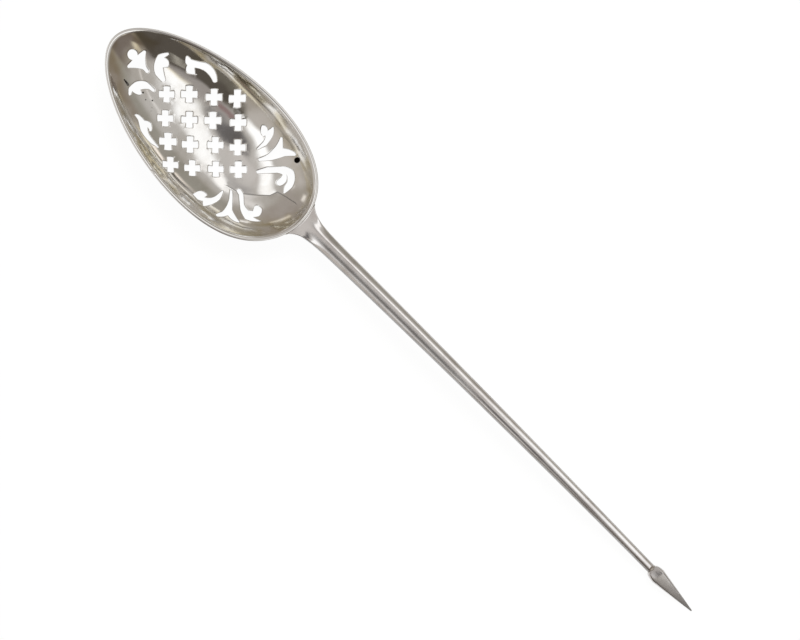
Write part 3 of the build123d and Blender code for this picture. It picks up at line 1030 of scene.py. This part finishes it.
def makeSilver(name):
    look = silverLooks[name]
    material = bpy.data.materials.new(name)
    tree = emptyTree(material)
    place = addNode(tree, "ShaderNodeTexCoord").outputs["Object"]
    stainAt = addNode(tree, "ShaderNodeAttribute", {"attribute_name": "stain"}).outputs["Fac"]
    grimeAndShadeAt = addNode(tree, "ShaderNodeAttribute", {"attribute_name": "grimeAndShade"}).outputs["Fac"]

    # a dull film in patches, gone where the silver is rubbed
    patches = addNode(tree, "ShaderNodeTexNoise", None, {
        "Vector": place, "Scale": 1000 / look["filmSize"], "Detail": 4.0, "Roughness": 0.6,
    })
    filmShare = addNode(tree, "ShaderNodeMapRange", {"interpolation_type": "SMOOTHSTEP"}, {
        "Value": patches,
        "From Min": ageing["filmEdge"][0], "From Max": ageing["filmEdge"][1],
    })
    rubbed = addNode(tree, "ShaderNodeMapRange", None, {
        "Value": stainAt, "From Min": tarnishAndShade["rubbed"], "From Max": 0.0,
    })
    kept = addNode(tree, "ShaderNodeMath", {"operation": "MULTIPLY"}, {0: filmShare, 1: rubbed})
    silver = addNode(tree, "ShaderNodeMixRGB", None, {
        "Fac": kept, "Color1": linear(look["clean"]), "Color2": linear(look["film"]),
    })

    # a warm stain in clouds, then the grime and the painted shade
    clouds = addNode(tree, "ShaderNodeTexNoise", None, {
        "Vector": place, "Scale": 1000 / ageing["stainSize"], "Detail": 2.0, "Roughness": 0.5,
    })
    cloudShare = addNode(tree, "ShaderNodeMapRange", {"interpolation_type": "SMOOTHSTEP"}, {
        "Value": clouds,
        "From Min": ageing["stainEdge"][0], "From Max": ageing["stainEdge"][1],
    })
    stainShare = addNode(tree, "ShaderNodeMath", {"operation": "MULTIPLY", "use_clamp": True}, {
        0: cloudShare, 1: stainAt,
    })
    stained = addNode(tree, "ShaderNodeMixRGB", None, {
        "Fac": stainShare, "Color1": silver, "Color2": linear(ageing["stain"]),
    })
    soiledAndShaded = addNode(tree, "ShaderNodeMixRGB", None, {
        "Fac": grimeAndShadeAt, "Color1": stained, "Color2": linear(ageing["grimeAndShade"]),
    })

    # fine scratches
    stretched = addNode(tree, "ShaderNodeMapping", None, {
        "Vector": place, "Scale": look["scratchRun"],
    })
    scratches = addNode(tree, "ShaderNodeTexNoise", None, {
        "Vector": stretched, "Detail": 3.0, "Roughness": 0.7,
        "Scale": 1000 / (look["scratch"] * ageing["scratchGrowth"]),
    })
    rough = addNode(tree, "ShaderNodeMapRange", None, {
        "Value": scratches,
        "From Min": ageing["scratchEdge"][0], "From Max": ageing["scratchEdge"][1],
        "To Min": look["roughness"][0], "To Max": look["roughness"][1],
    })
    duller = addNode(tree, "ShaderNodeMath", {"operation": "MULTIPLY_ADD"}, {
        0: grimeAndShadeAt, 1: ageing["dulling"], 2: rough,
    })
    bump = addNode(tree, "ShaderNodeBump", None, {
        "Height": scratches, "Strength": look["bump"], "Distance": ageing["scratchDepth"] * 0.001,
    })
    shader = addNode(tree, "ShaderNodeBsdfPrincipled", None, {
        "Base Color": soiledAndShaded, "Metallic": 1.0, "Roughness": duller, "Normal": bump,
    })
    addNode(tree, "ShaderNodeOutputMaterial", None, {"Surface": shader})
    return material


# The studio.

studio = {
    "floor": 3.0,  # metres from its middle to its sides
    "floorDrop": 0.00003,  # just below the spoon
    "floorWhite": "#fbfaf9",
    "paperGlow": 0.96,  # share of the paper that shows as plain white
    "wallShade": "#a69f96",
    "distance": 1.2,
    "sensor": 36.0,
    "farthest": 20.0,
    "frameWidth": 0.13736,  # metres across the picture at the spoon
    "lookTilt": math.radians(8.5),
    "aim": (-0.00092, 0.000885, 0.004),
    "facing": 0.2,  # how far round a shape of the room fades in from behind
}

# Soft shapes round the spoon that its silver mirrors, painted over one another in this order.
# Each is (from, to, half width, softness, shade, brightness), in degrees. A direction is
# (compass, down): from +X towards +Y, and down from overhead.
roomShapes = {
    "ceiling": ((180, 44), (0, 44), 48, 14, "#bdb9b4", 1),
    "overhead": ((150, 16), (-30, 10), 12, 10, "#cbc6c2", 1),
    "nearWall": ((-150, 66), (-84, 66), 20, 10, "#c2bcb6", 1),
    "leftWall": ((140, 72), (-160, 72), 22, 7, "#a39b94", 1),
    "farWall": ((-26, 66), (32, 68), 17, 5, "#786e66", 1),
    "farWallTop": ((-24, 41), (-8, 43), 4, 4, "#989390", 1),
    "backWall": ((38, 66), (106, 66), 14, 6, "#9b978e", 1),
    "cabinet": ((34, 78), (68, 80), 16, 8, "#8f857a", 1),
    "upperGlow": ((112, 41), (150, 41), 4, 5, "#e4e0dd", 1),
    "greyPanel": ((-66, 33), (-18, 40), 10, 4, "#9f9995", 1),
    "doorSide": ((-62, 66), (-78, 66), 32, 3, "#6b665d", 1),
    "doorway": ((-28, 74), (-69, 74), 35, 3, "#57514a", 1),
    "doorGlint": ((-42, 42), (-49, 56), 0.8, 1, "#b9b4a9", 1),
    "darkPanel": ((-84, 15), (-20, 17), 7.5, 3.5, "#6b6868", 1),
    "warmPatch": ((-62, 27), (-50, 27), 3.5, 2.5, "#8b7472", 1),
    "warmEnd": ((-28, 34), (-14, 28), 4, 3, "#fff4d4", 1.1),
    "gap": ((92, 25), (142, 25), 4, 4, "#a29e9c", 1),
    "window": ((126, 80), (113, 82), 4, 3, "#ffffff", 1.3),
    "curtain": ((87, 80), (72, 79), 4, 4, "#fbf1e6", 1.15),
    "lampShade": ((-13, 52), (-5, 46), 1.4, 2.5, "#e6dcc6", 1),
    "shelfEdge": ((148, 82), (170, 83), 1.6, 2, "#f0eae2", 1.05),
    "shelfEnd": ((-165, 82), (-156, 84), 2, 2, "#f3ede5", 1.1),
    "brightDoor": ((-150, 60), (-141, 55), 4, 4, "#fbf8f5", 1.15),
    "secondLamp": ((161, 31), (-79.5, 43.4), 6, 3.5, "#ffffff", 1.2),
    "stripLight": ((-26, 34), (78, 28), 5, 2.5, "#ffffff", 1.15),
    "stripEnd": ((74, 29), (108, 32), 6, 3, "#f8f6f4", 1.2),
    "thinStrip": ((52, 36), (10, 43), 0.9, 1, "#e9e5e1", 1),
}


def makeFloor():
    size = studio["floor"]
    corners = [(-size, -size), (size, -size), (size, size), (-size, size)]
    mesh = bpy.data.meshes.new("paperSheet")
    mesh.from_pydata([(x, y, -studio["floorDrop"]) for x, y in corners], [], [(0, 1, 2, 3)])
    material = bpy.data.materials.new("matWhitePaper")
    tree = emptyTree(material)
    paper = addNode(tree, "ShaderNodeBsdfDiffuse", None, {"Color": linear(studio["floorWhite"])})
    glow = addNode(tree, "ShaderNodeEmission", None, {"Color": (1, 1, 1, 1), "Strength": 1.0})
    rays = addNode(tree, "ShaderNodeLightPath").outputs
    seen = rays["Is Camera Ray"]
    for kind in ("Is Glossy Ray", "Is Transmission Ray"):
        seen = addNode(tree, "ShaderNodeMath", {"operation": "MAXIMUM"}, {0: seen, 1: rays[kind]})
    share = addNode(tree, "ShaderNodeMath", {"operation": "MULTIPLY"}, {
        0: seen, 1: studio["paperGlow"],
    })
    mixed = addNode(tree, "ShaderNodeMixShader", None, {0: share, 1: paper, 2: glow})
    addNode(tree, "ShaderNodeOutputMaterial", None, {"Surface": mixed})
    mesh.materials.append(material)
    floor = addObject("paperSheet", mesh)


def towards(compass, down):
    compass, down = math.radians(compass), math.radians(down)
    flat = math.sin(down)
    return Vector((flat * math.cos(compass), flat * math.sin(compass), math.cos(down)))


def makeRoom():
    world = bpy.data.worlds.new("softRoom")
    bpy.context.scene.world = world
    tree = emptyTree(world)
    look = addNode(tree, "ShaderNodeTexCoord").outputs["Generated"]
    colour = linear(studio["wallShade"])
    for start, end, width, soft, shade, brightness in roomShapes.values():
        start, end = towards(*start), towards(*end)
        middle = (start + end).normalized()
        along = (end - start).normalized()
        beside = middle.cross(along).normalized()
        length = math.degrees((end - start).length / 2)
        front = addNode(tree, "ShaderNodeVectorMath", {"operation": "DOT_PRODUCT"}, {
            0: look, 1: middle,
        })
        cover = addNode(tree, "ShaderNodeMapRange", None, {
            "Value": front.outputs["Value"], "From Min": 0.0, "From Max": studio["facing"],
        })
        for direction, span in ((along, length), (beside, width)):
            aside = addNode(tree, "ShaderNodeVectorMath", {"operation": "DOT_PRODUCT"}, {
                0: look, 1: direction,
            })
            size = addNode(tree, "ShaderNodeMath", {"operation": "ABSOLUTE"}, {
                0: aside.outputs["Value"],
            })
            edge = addNode(tree, "ShaderNodeMapRange", {"interpolation_type": "SMOOTHSTEP"}, {
                "Value": size,
                "From Min": math.sin(math.radians(min(span + soft, 90))),
                "From Max": math.sin(math.radians(max(span - soft, 0))),
            })
            cover = addNode(tree, "ShaderNodeMath", {"operation": "MULTIPLY"}, {0: cover, 1: edge})
        colour = addNode(tree, "ShaderNodeMixRGB", None, {
            "Fac": cover, "Color1": colour, "Color2": [v * brightness for v in linear(shade)],
        })
    back = addNode(tree, "ShaderNodeBackground", None, {"Color": colour, "Strength": 1.0})
    addNode(tree, "ShaderNodeOutputWorld", None, {"Surface": back})


def makeCamera():
    tilt = studio["lookTilt"]
    along = Vector((1, 0, 0))
    across = Vector((0, math.cos(tilt), math.sin(tilt)))
    right = (along + across).normalized()
    up = (across - along).normalized()
    back = right.cross(up)
    data = bpy.data.cameras.new("copyStand")
    data.sensor_width = studio["sensor"]
    data.lens = studio["sensor"] * studio["distance"] / studio["frameWidth"]
    data.clip_end = studio["farthest"]
    camera = addObject("copyStand", data)
    turn = Matrix((right, up, back)).transposed().to_4x4()
    place = Vector(studio["aim"]) + back * studio["distance"]
    camera.matrix_world = Matrix.Translation(place) @ turn
    bpy.context.scene.camera = camera


lamp = {"at": (-0.35, 0.45, 1.1), "size": 0.7, "watts": 14.0}


# It lights the paper; the silver mirrors the room and not the lamp.
def makeLamp():
    data = bpy.data.lights.new("paperLight", "AREA")
    data.shape = "DISK"
    data.size = lamp["size"]
    data.energy = lamp["watts"]
    light = addObject("paperLight", data)
    light.visible_glossy = False
    place = Vector(lamp["at"])
    turn = place.to_track_quat("Z", "Y").to_matrix().to_4x4()
    light.matrix_world = Matrix.Translation(place) @ turn


silvers = {name: makeSilver(name) for name in silverLooks}
print("materials made")
makeBowl(silvers["bowlSilver"])
joint = makeStem(silvers["stemSilver"])
makeDrop(silvers["bowlSilver"])
makeHeelSolder(silvers["silverSolder"], joint)
makePoint(silvers["stemSilver"])
makePointSolder(silvers["silverSolder"])
print("spoon made")
makeFloor()
makeRoom()
makeLamp()
makeCamera()
bpy.context.scene.view_settings.view_transform = "Standard"
print("studio made")
